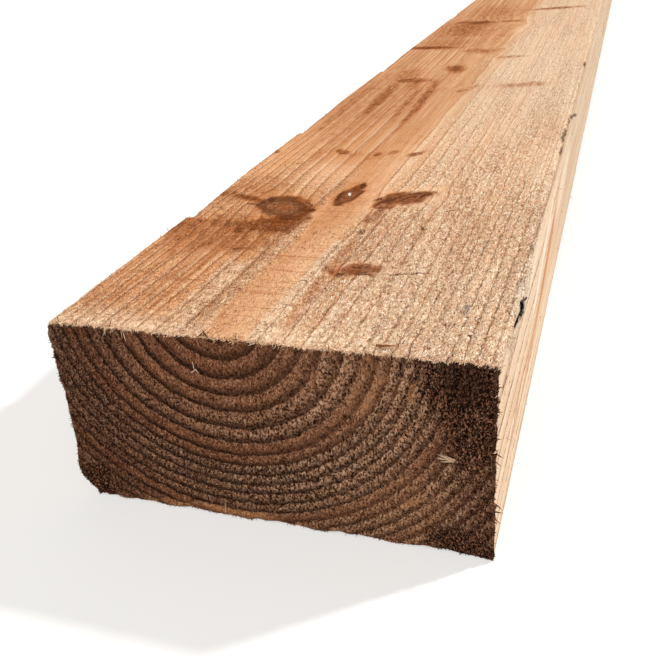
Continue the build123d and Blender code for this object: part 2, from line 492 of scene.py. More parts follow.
def section_columns():
    """Points round the section, clockwise seen from the near end, and the outward way at each."""
    top, right, bottom, left = (runs(r) for r in (TOP_RUNS, RIGHT_RUNS, BOTTOM_RUNS, LEFT_RUNS))
    points = np.concatenate([
        np.stack([top, np.full_like(top, HEIGHT)], 1),
        np.stack([np.full_like(right, WIDTH / 2), right], 1),
        np.stack([bottom, np.zeros_like(bottom)], 1),
        np.stack([np.full_like(left, -WIDTH / 2), left], 1),
    ])
    # An even count, so that the coarse stretch can leave out every second column
    if len(points) % 2:
        points = np.delete(points, len(top) + len(right) + 5, axis=0)
    half = np.array([WIDTH / 2, HEIGHT / 2])
    centred = points - (0, HEIGHT / 2)
    lean = np.clip(1 - (half - np.abs(centred)) / ARRIS_BLEND, 0, 1)
    on_face = np.abs(centred) > half - 1e-6
    outward = np.where(on_face, 1.0, lean) * np.sign(centred)
    return points, outward / np.linalg.norm(outward, axis=1)[:, None]


def stations():
    """Places along the length for the mesh's sections, and how many of them are in the fine stretch."""
    fine = np.arange(0, FINE_LENGTH, FINE_STEP)
    middles = np.array([middle[1] for middle, *_ in KNOTS_SHARE])
    radii = np.array([radius for _, _, radius, *_ in KNOTS_SHARE])
    coarse = [FINE_LENGTH]
    while coarse[-1] < LENGTH - KNOT_STEP:
        gap = (np.abs(middles - coarse[-1]) - 1.6 * radii).min()
        coarse.append(coarse[-1] + np.interp(gap, (0, 50), (KNOT_STEP, CLEAR_STEP)))
    return np.concatenate([fine, coarse[:-1], [LENGTH]]), len(fine)


def drop_on(tree, outside, inward):
    """Where rays from outside points meet the solid, in millimetres from the near end's middle underside."""
    found = np.empty_like(outside)
    shift = np.array([0, LENGTH / 2, 0])
    for i, (start, way) in enumerate(zip((outside - shift) * MM, inward)):
        hit = tree.ray_cast(Vector(start), Vector(way))[0]
        found[i] = np.array(hit) / MM + shift if hit else outside[i] + PROBE * inward[i]
    return found


# The top face's rings grow bold between these places across, and calm down between these lengths
BOLD_X = (45.0, 85.0)
BOLD_Y = (90.0, 200.0)


def ruffle(place, wood, on_end):
    """How far the sawn surface stands out at each place."""
    ridge = np.cos(2 * math.pi * wood.ring)
    tuft = 0.40 * noise_at(place, (1.8, 5, 1.8), 11) + 0.22 * noise_at(place, (3.4, 12, 3.4), 12)
    swell = 0.25 * noise_at(place, (30, 160, 30), 13)
    sawn = 0.05 * noise_at(place, (70, 4, 70), 14)
    x, y, _ = place.T
    bold = smooth_step(x, BOLD_X[0], BOLD_X[1]) * smooth_step(y, BOLD_Y[1], BOLD_Y[0])
    long_way = wood.wool * (tuft - (0.20 + 0.30 * bold) * ridge) + swell + sawn
    tufts = 0.34 * noise_at(place, (1.6, 9, 1.6), 15) + 0.30 * noise_at(place, (4, 9, 3), 16)
    end_way = tufts - 0.35 * ridge + 0.5 * noise_at(place, (40, 9, 25), 17)
    bulge = smooth_step(place[:, 1], 70, 0) * smooth_step(np.abs(place[:, 2] - 17), 13, 4)
    long_way += 1.5 * bulge * (place[:, 0] < -WIDTH / 2 + 3) - CRACK_DEPTH * inside_crack(place)
    return np.where(on_end, end_way, long_way)


def torn_foot(place):
    """How far the ragged lower edge of the near end is torn up, at each place."""
    share = smooth_step(place[:, 2], 7, 0) * smooth_step(place[:, 1], 12, 0)
    torn = 0.8 + 1.0 * noise_at(place, (6, 9, 40), 18) + 0.9 * noise_at(place, (2.6, 9, 40), 19)
    return share * np.maximum(torn, 0)


def long_faces(tree):
    """The vertices of the long faces and their quads and triangles, with each section's first vertex and each
    vertex's share of the way round."""
    points, outward = section_columns()
    along, fine = stations()
    rows, starts, faces, total, shares = [], [], [], 0, []
    for i, y in enumerate(along):
        kept = slice(None) if i <= fine else slice(None, None, 2)
        p, out = points[kept], outward[kept]
        place = np.stack([p[:, 0], np.full(len(p), y), p[:, 1]], 1)
        way = np.stack([out[:, 0], np.zeros(len(p)), out[:, 1]], 1)
        rows.append((place, way))
        starts.append(total)
        shares.append(np.arange(len(points))[kept] / len(points))
        total += len(p)
    for i in range(len(rows) - 1):
        a, b = starts[i], starts[i + 1]
        n, m = len(rows[i][0]), len(rows[i + 1][0])
        for k in range(m):
            if n == m:
                after = (k + 1) % n
                faces.append((a + k, a + after, b + after, b + k))
            else:
                left, mid, right = 2 * k, 2 * k + 1, (2 * k + 2) % n
                after = (k + 1) % m
                faces.append((a + left, a + mid, b + k))
                faces.append((a + mid, a + right, b + after))
                faces.append((a + mid, b + after, b + k))
    place = np.concatenate([row[0] for row in rows])
    way = np.concatenate([row[1] for row in rows])
    inside = np.clip(place[:, 1], 0.05, LENGTH - 0.05)
    outside = np.stack([place[:, 0], inside, place[:, 2]], 1) + PROBE * way
    dropped = drop_on(tree, outside, -way)
    dropped[:, 1] = place[:, 1]
    return dropped, way, faces, starts, np.concatenate(shares)


def cap(ring, step, rng):
    """Points inside an end's outline, and the triangles that fill it: the outline's points come first."""
    xs = np.arange(ring[:, 0].min() + step, ring[:, 0].max(), step)
    zs = np.arange(ring[:, 1].min() + step, ring[:, 1].max(), step)
    grid = np.stack(np.meshgrid(xs, zs), -1).reshape(-1, 2)
    grid += rng.uniform(-0.3, 0.3, grid.shape) * step
    nearest = np.concatenate([
        np.sqrt(((part[:, None] - ring[None]) ** 2).sum(2)).min(1) for part in np.array_split(grid, 20)
    ])
    grid = grid[nearest > 0.6 * step]
    points = [Vector(p) for p in np.concatenate([ring, grid])]
    border = list(range(len(ring)))
    found = delaunay_2d_cdt(points, [], [border], 1, 1e-5)
    source = [group[0] for group in found[3]]
    return grid, [[source[v] for v in face] for face in found[2]]


def facing(places, faces, way):
    """The faces, each turned to look along way."""
    p = np.array([[places[v] for v in face[:3]] for face in faces])
    turned = np.cross(p[:, 1] - p[:, 0], p[:, 2] - p[:, 0]) @ way < 0
    return [face[::-1] if t else face for face, t in zip(faces, turned)]


def new_object(name, data):
    made = bpy.data.objects.new(name, data)
    bpy.context.scene.collection.objects.link(made)
    return made


def new_mesh(name, places, faces):
    """An object whose mesh has these places, in millimetres from the near end's middle underside."""
    mesh = bpy.data.meshes.new(name)
    shifted = (np.asarray(places) - (0, LENGTH / 2, 0)) * MM
    mesh.from_pydata(shifted.tolist(), [], faces)
    return new_object(name, mesh)


def add_layer(mesh, name, values):
    """Gives each vertex of a mesh a number or a vector, under a name."""
    kind, field = ("FLOAT", "value") if values.ndim == 1 else ("FLOAT_VECTOR", "vector")
    layer = mesh.attributes.new(name, kind, "POINT")
    layer.data.foreach_set(field, np.asarray(values, np.float32).ravel())


def read_ints(rows, name):
    """A whole number from each row of one of a mesh's tables."""
    found = np.empty(len(rows), int)
    rows.foreach_get(name, found)
    return found


def finish_piece(piece, *materials):
    """Gives a piece its materials, and says that it rides on the sleeper's body and stands for the solid."""
    for material in materials:
        piece.data.materials.append(material)
    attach(piece, "root")
    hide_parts(NODE)


# The bake's own map: where along U each length lies, and the strips of V and U for the long faces and ends
BAKE_MAP = "OFBake"
MAP_LENGTHS = (0.0, 330.0, 1000.0, 2400.0)
MAP_SHARES = (0.0, 0.42, 0.70, 1.0)
LONG_STRIP = 0.70
END_STRIP = (0.72, 0.995)
END_COLUMNS = ((0.005, 0.595), (0.605, 0.995))


def lay_map(mesh, spots):
    """Gives a mesh the bake's own map, with one place for each of its faces' corners."""
    layer = mesh.uv_layers.new(name=BAKE_MAP)
    layer.data.foreach_set("uv", np.clip(spots, 0, 1).astype(np.float32).ravel())


def map_sleeper(mesh, place, round_share):
    """Lays the long faces out as one sheet and the two ends beside it."""
    corner = read_ints(mesh.loops, "vertex_index")
    names = ("loop_start", "loop_total", "material_index")
    starts, sizes, slots = (read_ints(mesh.polygons, name) for name in names)
    last = len(round_share) - 1
    around = np.where(corner <= last, round_share[np.minimum(corner, last)], 0)
    highest = np.repeat(np.maximum.reduceat(around, starts), sizes)
    around = around + (highest - around > 0.5)
    x, y, z = place[corner].T
    along = np.interp(y / LENGTH, np.array(MAP_LENGTHS) / MAP_LENGTHS[-1], MAP_SHARES)
    long_spots = np.stack([along, around * LONG_STRIP], 1)
    far = (y > LENGTH / 2).astype(int)
    low, high = np.array(END_COLUMNS)[far].T
    across = low + (high - low) * (x / WIDTH + 0.5)
    end_spots = np.stack([across, END_STRIP[0] + (END_STRIP[1] - END_STRIP[0]) * z / HEIGHT], 1)
    on_end = np.repeat(slots, sizes) == 1
    lay_map(mesh, np.where(on_end[:, None], end_spots, long_spots))


def map_fibres(mesh, places, on_end):
    """Lays fibres out as seen from before an end, or else by length and by place round the section."""
    x, y, z = places.T
    if on_end:
        spots = np.stack([x, z], 1)
    else:
        spots = np.stack([np.sqrt(np.maximum(y + 5, 0)), np.arctan2(z - HEIGHT / 2, x)], 1)
    low, high = spots.min(0), spots.max(0)
    lay_map(mesh, ((spots - low) / (high - low))[read_ints(mesh.loops, "vertex_index")])


def make_sleeper():
    """The sleeper's own piece, closed, with the solid's shape and a sawn surface."""
    rng = np.random.default_rng(7)
    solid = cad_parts[NODE].data
    tree = BVHTree.FromPolygons([v.co for v in solid.vertices], [tuple(p.vertices) for p in solid.polygons])
    place, way, faces, starts, round_share = long_faces(tree)
    long_count = len(faces)
    first = np.arange(starts[0], starts[1])
    last = np.arange(starts[-1], len(place))
    extra, caps = [], []
    total = len(place)
    for ring, step, y, look in ((first, NEAR_CAP_STEP, 0, -1), (last, FAR_CAP_STEP, LENGTH, 1)):
        inner, fill = cap(place[ring][:, [0, 2]], step, rng)
        numbers = np.concatenate([ring, total + np.arange(len(inner))])
        spots = np.stack([inner[:, 0], np.full(len(inner), float(y)), inner[:, 1]], 1)
        known = np.concatenate([place[ring], spots])
        fill = facing(known, fill, np.array([0, look, 0]))
        caps += [tuple(int(numbers[v]) for v in face) for face in fill]
        extra.append((spots, np.tile((0.0, look, 0.0), (len(inner), 1))))
        total += len(inner)
    place = np.concatenate([place, *(e[0] for e in extra)])
    way = np.concatenate([way, *(e[1] for e in extra)])
    on_end = np.abs(way[:, 1]) > 0.5
    wood = Wood(place)
    moved = place + way * ruffle(place, wood, on_end)[:, None]
    rim = np.isin(np.arange(len(place)), np.concatenate([first, last]))
    moved[rim] += rng.normal(0, 0.28, (rim.sum(), 3))
    moved[:, 2] += torn_foot(place)
    moved[:, 2] = np.maximum(moved[:, 2], 0)
    piece = new_mesh("sawn_sleeper", moved, faces + caps)
    mesh = piece.data
    mesh.polygons.foreach_set("material_index", [0] * long_count + [1] * len(caps))
    mesh.polygons.foreach_set("use_smooth", [True] * len(mesh.polygons))
    mesh.set_sharp_from_angle(angle=math.radians(55))
    map_sleeper(mesh, place, round_share)
    add_layer(mesh, "grain", wood.grain)
    add_layer(mesh, "place", place)
    for name in Wood.FIELDS:
        add_layer(mesh, name, getattr(wood, name))
    return piece


class Wire:
    """A number or a vector that runs between shader nodes, to be added, multiplied and so on."""

    def __init__(self, sheet, socket):
        self.sheet = sheet
        self.socket = socket

    def __add__(self, other):
        return self.sheet.math("ADD", self, other)

    def __radd__(self, other):
        return self.sheet.math("ADD", other, self)

    def __sub__(self, other):
        return self.sheet.math("SUBTRACT", self, other)

    def __rsub__(self, other):
        return self.sheet.math("SUBTRACT", other, self)

    def __mul__(self, other):
        return self.sheet.math("MULTIPLY", self, other)

    def __rmul__(self, other):
        return self.sheet.math("MULTIPLY", other, self)


class Sheet:
    """A material's nodes, made by short calls."""

    def __init__(self, name):
        self.material = bpy.data.materials.new(name)
        self.material.use_nodes = True
        self.nodes = self.material.node_tree.nodes
        self.links = self.material.node_tree.links
        self.shader = self.nodes["Principled BSDF"]

    def node(self, kind, values=(), **settings):
        made = self.nodes.new(kind)
        for name, value in settings.items():
            setattr(made, name, value)
        for socket, value in zip(made.inputs, values):
            self.feed(socket, value)
        return made

    def feed(self, socket, value):
        if isinstance(value, Wire):
            self.links.new(value.socket, socket)
        elif value is not None:
            socket.default_value = value

    def math(self, operation, *values):
        return Wire(self, self.node("ShaderNodeMath", values, operation=operation).outputs[0])

    def vector(self, operation, *values, out=0):
        return Wire(self, self.node("ShaderNodeVectorMath", values, operation=operation).outputs[out])

    def x_of(self, place):
        return self.vector("DOT_PRODUCT", place, (1, 0, 0), out=1)

    def y_of(self, place):
        return self.vector("DOT_PRODUCT", place, (0, 1, 0), out=1)

    def attribute(self, name, out="Fac"):
        return Wire(self, self.node("ShaderNodeAttribute", attribute_name=name).outputs[out])

    def step(self, value, start, end, low=0.0, high=1.0):
        """low before start, high past end, and a smooth change between them."""
        values = (value, start, end, low, high)
        made = self.node("ShaderNodeMapRange", values, interpolation_type="SMOOTHSTEP")
        return Wire(self, made.outputs[0])

    def noise(self, place, cell, detail=2.0, rough=0.5, twist=0.0, out="Fac"):
        """Noise from about 0.2 to 0.8, with bumps as long as cell says along each axis, in millimetres."""
        scaled = self.vector("MULTIPLY", place, tuple(1 / c for c in cell))
        made = self.node("ShaderNodeTexNoise", (scaled, None, 1.0, detail, rough))
        made.inputs["Distortion"].default_value = twist
        return Wire(self, made.outputs[out])

    def mix(self, share, first, second, kind="MIX"):
        made = self.node("ShaderNodeMix", data_type="RGBA", blend_type=kind)
        for name, value in ((0, share), (6, first), (7, second)):
            self.feed(made.inputs[name], value)
        return Wire(self, made.outputs[2])

    def lay(self, colour, *layers):
        """A colour with layers over it, each given as a share and a screen colour."""
        for share, tone in layers:
            colour = self.mix(share, colour, paint(*tone))
        return colour

    def curve(self, value, points):
        made = self.node("ShaderNodeFloatCurve", (1.0, value))
        line = made.mapping.curves[0]
        line.points[0].location = points[0]
        line.points[1].location = points[-1]
        for spot in points[1:-1]:
            line.points.new(*spot)
        for point in line.points:
            point.handle_type = "VECTOR"
        made.mapping.update()
        return Wire(self, made.outputs[0])

    def bands(self, value, colours):
        """Steps of colour along a value from 0 to 1, and the steps' fourth numbers."""
        made = self.node("ShaderNodeValToRGB", (value,))
        ramp = made.color_ramp
        ramp.interpolation = "CONSTANT"
        ramp.elements[0].color = colours[0]
        ramp.elements.remove(ramp.elements[1])
        for i, colour in enumerate(colours[1:], 1):
            ramp.elements.new(i / len(colours)).color = colour
        return Wire(self, made.outputs[0]), Wire(self, made.outputs[1])

    def mark(self, place, middle, half, turns):
        """1 inside an ellipsoid and 0 outside it, with a soft edge."""
        turns = tuple(math.radians(t) for t in turns)
        values = (place, middle, turns, half)
        inside = Wire(self, self.node("ShaderNodeMapping", values, vector_type="TEXTURE").outputs[0])
        return self.step(self.vector("LENGTH", inside, out=1), 1.25, 0.65)

    def marks(self, place, rows):
        """1 inside any of some ellipsoids and 0 outside all of them."""
        found = 0.0
        for row in rows:
            found = self.math("MAXIMUM", found, self.mark(place, *row))
        return found

    def bump(self, height, distance):
        made = self.node("ShaderNodeBump")
        made.inputs["Strength"].default_value = 1.0
        made.inputs["Distance"].default_value = distance * MM
        self.feed(made.inputs["Height"], height)
        self.links.new(made.outputs[0], self.shader.inputs["Normal"])

    def finish(self, colour, rough, shine):
        self.feed(self.shader.inputs["Base Color"], colour)
        self.feed(self.shader.inputs["Roughness"], rough)
        self.shader.inputs["Specular IOR Level"].default_value = shine
        return self.material


def paint(red, green, blue, fourth=1.0):
    """A screen colour, from 0 to 255, as the numbers that a shader takes."""
    shares = np.array([red, green, blue]) / 255
    linear = np.where(shares <= 0.04045, shares / 12.92, ((shares + 0.055) / 1.055) ** 2.4)
    return (*(float(v) for v in linear), fourth)


def rings(s, grain, waver):
    """The number of rings inside a place, with some millimetres of waver added to its radius."""
    radius = s.vector("LENGTH", s.vector("MULTIPLY", grain, (1.0, 0.0, 1.0)), out=1) + waver
    reach = RING_RADII[-1]
    count = len(RING_RADII)
    points = [(0.0, 0.0), *((r / reach, (i + 1) / count) for i, r in enumerate(RING_RADII))]
    share = s.curve(radius * (1 / reach), points)
    return share, s.math("FRACT", share * count)


# Colours of the long faces, from paler to darker places
PALE = (paint(230, 180, 136), paint(212, 156, 110))
WARM = (paint(216, 154, 104), paint(192, 128, 80))
CREAM = (paint(254, 228, 198), paint(244, 207, 171))
# Painted light on torn wool's lit tufts in the pale and in the warm wood, and painted shade on its shaded
# places and in the gaps between tufts
PAINTED_LIGHT_TUFT_PALE, PAINTED_LIGHT_TUFT_WARM = paint(255, 240, 214), paint(248, 204, 156)
PAINTED_SHADE_TUFT, PAINTED_SHADE_TUFT_GAP = paint(168, 98, 50), paint(112, 54, 22)
# How much the far part is darkened, as a colour on white
FAR_TINT = paint(237, 240, 243)
# The near part's look gives way to the calmer look of the far part between these lengths
CALM_FROM, CALM_TO = 150.0, 460.0
# Past the large knots the wood has stronger streaks and fainter pits, fully so from the second length on
BEYOND = (150, 330)


def wood_colour(s, grain, place, wool):
    """The colour of the plain long faces, the dark lines of their rings with painted groove shade on the bold
    ones and a painted highlight beside each, and their streaks.
    """
    heart, cream = s.attribute("heart"), s.attribute("cream")
    waver = (s.noise(grain, (9, 60, 9), 2) - 0.5) * 2.0
    waver = waver + (s.noise(grain, (1.6, 4.0, 1.6), 3) - 0.5) * (wool * 3.2 + 0.6)
    share, part = rings(s, grain, waver)
    core = s.step(share, 1.15 / len(RING_RADII), 1.35 / len(RING_RADII))
    far = s.step(s.y_of(place), CALM_FROM, CALM_TO)
    late = s.step(part, 0.45, 0.93) * s.step(part, 1.0, 0.96) * core * (1.0 - far * 0.35)
    line = s.step(part, 0.80, 0.93) * s.step(part, 1.0, 0.95) * core * (1.0 - far * 0.55)
    # A painted highlight on the lit ridge just outside each ring line
    glint = s.step(part, 0.02, 0.06) * s.step(part, 0.34, 0.12) * core
    bold = s.step(s.x_of(place), *BOLD_X)
    bold = bold * s.step(s.y_of(place), BOLD_Y[1], BOLD_Y[0])
    streak = s.noise(grain, (1.2, 90, 1.2), 3, 0.6)
    broad = s.noise(grain, (9, 460, 9), 3, 0.55)
    clump = s.noise(grain, (2.8, 7.5, 2.8), 2, 0.5, 0.6)
    colour = s.mix(heart, s.mix(s.step(broad, 0.36, 0.62), *PALE), s.mix(s.step(broad, 0.36, 0.62), *WARM))
    colour = s.mix(cream * (1.0 - heart * 0.60), colour, s.mix(s.step(broad, 0.35, 0.65), *CREAM))
    colour = s.mix(late * (heart * 0.26 + 0.16) * (1.0 - cream * 0.4), colour, paint(188, 116, 66))
    broken = s.step(clump, 0.36, 0.56)
    plain = heart * 0.25 + 0.20
    # The second layer is painted groove shade that deepens the bold ring lines over their dark latewood
    colour = s.lay(
        colour,
        (line * (plain + broken * 0.50) * (1.0 - cream * 0.35), (136, 76, 38)),
        (line * broken * bold * 0.90, (78, 46, 30)),
    )
    beyond = s.step(s.y_of(place), *BEYOND)
    # The first layer is the painted highlight beside each ring line
    colour = s.lay(
        colour,
        (glint * (wool * 0.40 + bold * 0.25 + beyond * 0.14 + 0.1), (255, 232, 202)),
        (s.step(streak, 0.50, 0.30) * (0.18 + beyond * 0.26), (186, 116, 68)),
        (s.step(streak, 0.52, 0.72) * (0.18 + beyond * 0.20), (255, 224, 186)),
    )
    grit = s.noise(place, (1.0, 1.7, 1.0), 2, 0.6)
    colour = s.lay(
        colour,
        (s.step(grit, 0.48, 0.34) * 0.30, (164, 100, 58)),
        (s.step(grit, 0.52, 0.66) * 0.26, (255, 226, 190)),
    )
    colour = s.mix(far, colour, FAR_TINT, "MULTIPLY")
    return colour, line, streak


def add_stains(s, colour, grain, place):
    """Brown stains with broken edges laid over a colour."""
    stain = s.attribute("stain")
    torn = s.noise(grain, (4.5, 15.0, 4.5), 4, 0.72)
    threads = s.step(s.noise(place, (2.4, 1.6, 2.0), 3, 0.68), 0.34, 0.60, 0.52, 1.0)
    edge = s.step(stain + (torn - 0.5) * 1.3, 0.06, 0.72)
    colour = s.mix(edge * (stain * 0.42 + 0.54) * threads, colour, paint(152, 80, 28))
    deep = s.step(stain + (torn - 0.5) * 1.7, 0.48, 1.08)
    return s.mix(deep * 0.94 * threads, colour, paint(90, 39, 5))


def add_wool(s, colour, grain, wool, line):
    """Torn wool laid over a colour, with painted light on its tufts, painted shade on their shaded sides and
    in the gaps between them, and the wool's height.
    """
    heart, stain = s.attribute("heart"), s.attribute("stain")
    light = s.mix(heart, PAINTED_LIGHT_TUFT_PALE, PAINTED_LIGHT_TUFT_WARM)
    tuft = s.noise(grain, (0.95, 3.2, 0.95), 2, 0.5, 1.2)
    clump = s.noise(grain, (2.8, 7.5, 2.8), 2, 0.5, 0.6)
    gap = s.noise(grain, (1.2, 3.4, 1.2), 1, 0.5, 1.0)
    # Painted highlight on the raised tufts, kept off the ring lines
    lit = s.step(tuft, 0.47, 0.57) * (0.58 + s.step(clump, 0.40, 0.60) * 0.42) * (1.0 - line * 0.6)
    colour = s.mix(wool * lit * (0.98 - stain * 0.62), colour, light)
    # Painted shade on the tufts' lower, shaded places
    shade = s.step(tuft, 0.45, 0.35)
    calm = 1.0 - s.attribute("cream") * 0.40
    colour = s.mix(wool * shade * (0.46 + line * 0.3) * calm, colour, PAINTED_SHADE_TUFT)
    # Painted shade in the gaps between tufts, which are also sunk as pits in the wool's height
    pit_with_painted_shade = s.step(gap, 0.38, 0.30)
    beyond = s.step(s.y_of(grain), *BEYOND)
    colour = s.mix(wool * pit_with_painted_shade * (0.92 - heart * 0.42) * (1.0 - beyond * 0.55), colour, PAINTED_SHADE_TUFT_GAP)
    return colour, (tuft + clump * 0.8) * wool * 1.5 - pit_with_painted_shade * wool * 0.35


def add_knots(s, colour, place, knot, shown):
    """The round faces of knots, with their own rings and a dark rim."""
    cells = s.noise(place, (2.2, 2.6, 2.2), 4, 0.66)
    rounds = s.math("FRACT", knot * 4.0 + cells * 1.6)
    inside = s.mix(s.step(cells, 0.38, 0.62), paint(94, 58, 36), paint(156, 102, 66))
    inside = s.mix(s.step(rounds, 0.3, 0.95) * 0.45, inside, paint(80, 44, 24))
    inside = s.mix(s.step(rounds, 0.25, 0.08) * 0.30, inside, paint(176, 120, 82))
    inside = s.mix(s.step(knot, 0.50, 0.15) * s.step(cells, 0.36, 0.60) * 0.60, inside, paint(172, 98, 50))
    halo = s.step(knot, 1.9, 0.9) * s.step(cells, 0.34, 0.66)
    colour = s.mix(halo * 0.60 * shown, colour, paint(142, 76, 34))
    ragged = knot + (cells - 0.5) * 1.5
    cover = s.step(ragged, 1.30, 0.66) * s.step(shown, 0.05, 0.9)
    colour = s.mix(cover * 0.94, colour, inside)
    rim = s.step(ragged, 0.66, 0.92) * s.step(ragged, 1.38, 1.08) * s.step(shown, 0.3, 0.9)
    return s.mix(rim * s.step(cells, 0.30, 0.56) * 0.80, colour, paint(86, 42, 18))


def add_marks(s, colour, place):
    """Streaks on the side, dark marks, tears, painted shade in the open pocket and its crack, a bruise and
    resin laid over a colour.
    """
    loose = s.vector("SUBTRACT", s.noise(place, (2.4, 3.2, 2.4), 3, 0.6, out="Color"), (0.5, 0.5, 0.5))
    loose = s.vector("ADD", place, s.vector("MULTIPLY", loose, (6.0, 8.0, 6.0)))
    for middle, half, turns, tone, strength in SIDE_STREAKS_SHARE:
        colour = s.mix(s.mark(loose, middle, half, turns) * strength, colour, paint(*tone))
    dark = s.marks(loose, [((*m, TOP), (*half, MARK_DEPTH), (0, 0, turn)) for m, half, turn in MARKS])
    torn, painted_hollow_shade = s.marks(loose, TEARS), s.marks(place, PAINTED_SHADE_POCKETS)
    # The last layer is painted shade inside the open pocket and its crack
    colour = s.lay(
        colour,
        (dark * 0.80, (76, 40, 18)),
        (torn * 0.80, (50, 30, 22)),
        (painted_hollow_shade, (20, 10, 7)),
    )
    bruise = s.mark(loose, (79.5, 44, TOP), (1.8, 5.5, 4), (0, 0, 0))
    colour = s.mix(bruise * 0.8, colour, paint(118, 122, 134))
    resin = s.mark(place, (-15.5, 187, TOP), (0.9, 3.0, 4), (0, 0, 18))
    return s.mix(resin * 0.85, colour, paint(236, 226, 212))


def sawn_material():
    """The long faces: rings, streaks, wool, saw marks, knots and stains."""
    s = Sheet("sawn_faces")
    grain, place = s.attribute("grain", "Vector"), s.attribute("place", "Vector")
    knot, shown, wool = s.attribute("knot"), s.attribute("shown"), s.attribute("wool")
    colour, line, streak = wood_colour(s, grain, place, wool)
    saw = s.noise(place, (42, 1.5, 42), 2, 0.6)
    left = s.step(s.x_of(place), 12, -6, 0.18, 1.0)
    close = s.step(s.y_of(place), 260, 100, 0.35, 1.0)
    sawn = s.step(saw, 0.45, 0.34) * left * close
    colour = s.lay(
        colour,
        ((1.0 - wool) * close * left * 0.24, (168, 120, 84)),
        (sawn * 0.62, (172, 106, 62)),
    )
    colour = add_stains(s, colour, grain, place)
    colour, height = add_wool(s, colour, grain, wool, line)
    colour = s.mix(sawn * wool * 0.50, colour, paint(160, 94, 52))
    colour = add_knots(s, colour, place, knot, shown)
    colour = add_marks(s, colour, place)
    calm = s.step(knot, 0.9, 1.3)
    height = height + saw * 0.10 + streak * 0.14 - line * (0.10 + wool * 0.45)
    s.bump(height * (calm * 0.75 + 0.25), 1.2)
    return s.finish(colour, s.step(knot * shown, 1.1, 0.9, 0.90, 0.78), 0.04)


# Each growth ring's colour on the cut ends, and how much pale wool it has, as a share
END_RINGS = [paint(*ring) for ring in (
    (158, 98, 68, 0.10), (155, 97, 66, 0.25), (155, 98, 68, 0.35), (161, 104, 73, 0.35),
    (163, 106, 73, 0.50), (146, 95, 68, 0.85), (148, 96, 70, 1.00), (154, 98, 68, 0.30),
    (144, 90, 62, 0.45), (98, 66, 54, 0.85), (104, 70, 57, 1.00), (99, 66, 53, 1.00),
    (118, 75, 55, 0.95), (116, 72, 53, 0.75), (152, 96, 66, 0.35), (130, 81, 57, 0.50),
    (116, 72, 51, 0.75), (122, 76, 53, 0.65), (128, 80, 55, 0.45), (114, 71, 50, 0.65),
    (126, 78, 55, 0.50), (120, 75, 53, 0.60), (124, 77, 54, 0.60), (118, 73, 51, 0.50),
)]

# Smooth light streaks on the near cut end: middle, half sizes, and turns about x, y and z in degrees
END_STREAKS = [
    ((48.5, 0, 73), (2.2, 9, 7.5), (0, 22, 0)),
    ((54, 0, 84), (1.6, 9, 4.0), (0, 48, 0)),
    ((66, 0, 79), (1.4, 9, 5.5), (0, 12, 0)),
    ((66.5, 0, 25.5), (1.9, 9, 6.5), (0, 62, 0)),
    ((25, 0, 80), (1.1, 9, 5.0), (0, 5, 0)),
    ((-55, 0, 31), (0.8, 9, 0.9), (0, 0, 0)),
]


